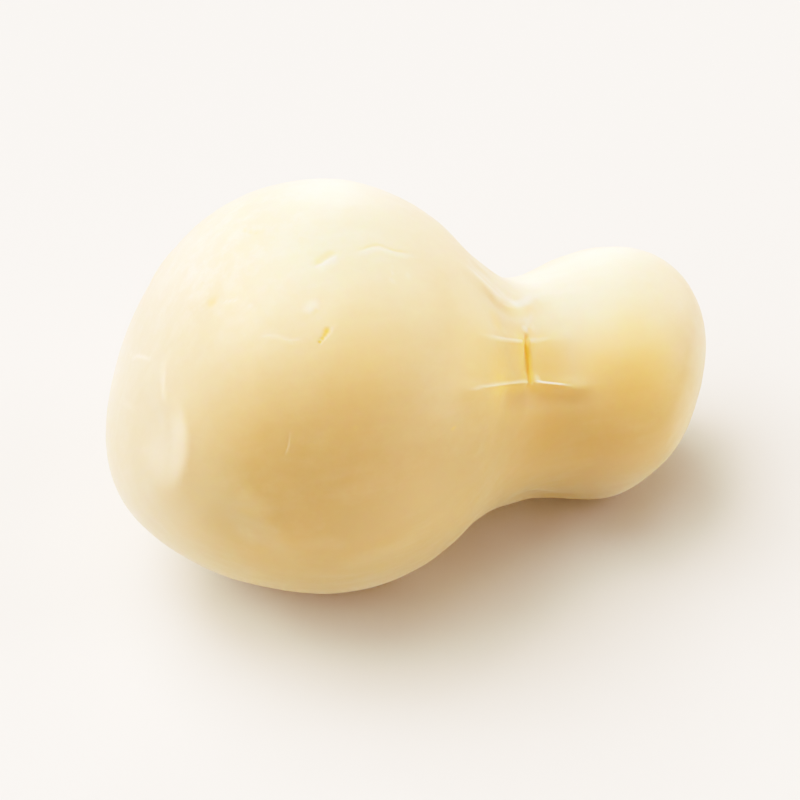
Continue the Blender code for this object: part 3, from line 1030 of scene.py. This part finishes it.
# %% Hang the lamps
# degrees round from behind the cheese (90 is the right, 270 the left), degrees up, degrees that the disc is
# wide, and strength
LAMPS = {
    "overhead": (0, 90, 40, 0.199),
    "left_front_high": (225, 60, 40, 0.178),
    "left_high": (270, 60, 40, 0.360),
    "back_left_high": (315, 60, 40, 0.496),
    "left_front": (225, 30, 40, 0.254),
    "left": (270, 30, 40, 0.394),
    "right": (90, 30, 40, 0.186),
    "back_low": (0, 8, 16, 0.364),
    "back_right_low": (45, 8, 16, 0.161),
    "right_low": (90, 8, 16, 0.377),
    "back_left_low": (315, 8, 16, 0.326),
}
LAMP_COLOUR = (0.922, 0.888, 0.820)
ROOM_LIGHT = (0.041, 0.017, 0.0, 1)
FAR_WALL = (0.457, 0.42, 0.376, 1)

for name, (turn, height, disc, strength) in LAMPS.items():
    turn = math.radians(turn) + CAMERA_TURN
    height = math.radians(height)
    away = Vector(
        (math.sin(turn) * math.cos(height), math.cos(turn) * math.cos(height), math.sin(height))
    )
    bpy.ops.object.light_add(type="SUN", rotation=away.to_track_quat("Z", "Y").to_euler())
    lamp = bpy.context.object
    lamp.name = name
    lamp.data.energy = strength
    lamp.data.color = LAMP_COLOUR
    lamp.data.angle = math.radians(disc)

world = bpy.data.worlds.new("studio")
bpy.context.scene.world = world
world.use_nodes = True
studio = Bench(world)
seen_by_camera = studio.node("LightPath", {}, {}, output="Is Camera Ray")
room = studio.blend(seen_by_camera, ROOM_LIGHT, FAR_WALL)
world.node_tree.links.new(room.socket, world.node_tree.nodes["Background"].inputs["Color"])
print(len(LAMPS), "lamps")

# %% [markdown]
# ## The film
#
# A camera doesn't record light in proportion. The darker tones fall away faster and the highlights ease into
# white instead of stopping at it, which gives the cheese its creamy shoulders. The S-shaped curve does this
# before the picture is stored. It comes out at half its top where the light is FILM_MIDDLE. The film's three
# layers don't quite agree either: in the dark the red one answers more and the blue one less, so shadows come
# out warm.

# %% Set the film's curve
FILM_CONTRAST, FILM_MIDDLE, FILM_TOP = 1.6, 0.2, 1.2
FILM_POINTS = 16
FILM_CROWDING = 1.7  # more than 1 sets the curve's points closer together in the dark


def film(light):
    """How bright the film comes out where this much light has fallen on it, from 0 to 1."""
    raised = light**FILM_CONTRAST
    return min(1.0, FILM_TOP * raised / (raised + FILM_MIDDLE**FILM_CONTRAST))


view = bpy.context.scene.view_settings
view.view_transform = "Standard"
view.use_curve_mapping = True
curve = view.curve_mapping.curves[3]
for step in range(1, FILM_POINTS):
    share = (step / FILM_POINTS) ** FILM_CROWDING
    curve.points.new(share, film(share))
curve.points[-1].location = (1.0, film(1.0))

# the light that falls on a layer, and what it passes on to the S-shaped curve
RED_LAYER = ((0.097, 0.113), (0.13, 0.139), (0.155, 0.157), (0.245, 0.239), (0.31, 0.31), (0.6, 0.6))
GREEN_LAYER = ((0.072, 0.075), (0.1, 0.0995), (0.13, 0.127), (0.151, 0.147), (0.21, 0.21), (0.6, 0.6))
BLUE_LAYER = ((0.042, 0.037), (0.06, 0.0585), (0.083, 0.081), (0.112, 0.1105), (0.18, 0.18), (0.384, 0.397))
for number, steps in enumerate((RED_LAYER, GREEN_LAYER, BLUE_LAYER)):
    for fallen, passed_on in steps:
        view.curve_mapping.curves[number].points.new(fallen, passed_on)
view.curve_mapping.update()
print("Light of 0.1, 0.2 and 0.5 comes out as", [round(film(light), 2) for light in (0.1, 0.2, 0.5)])
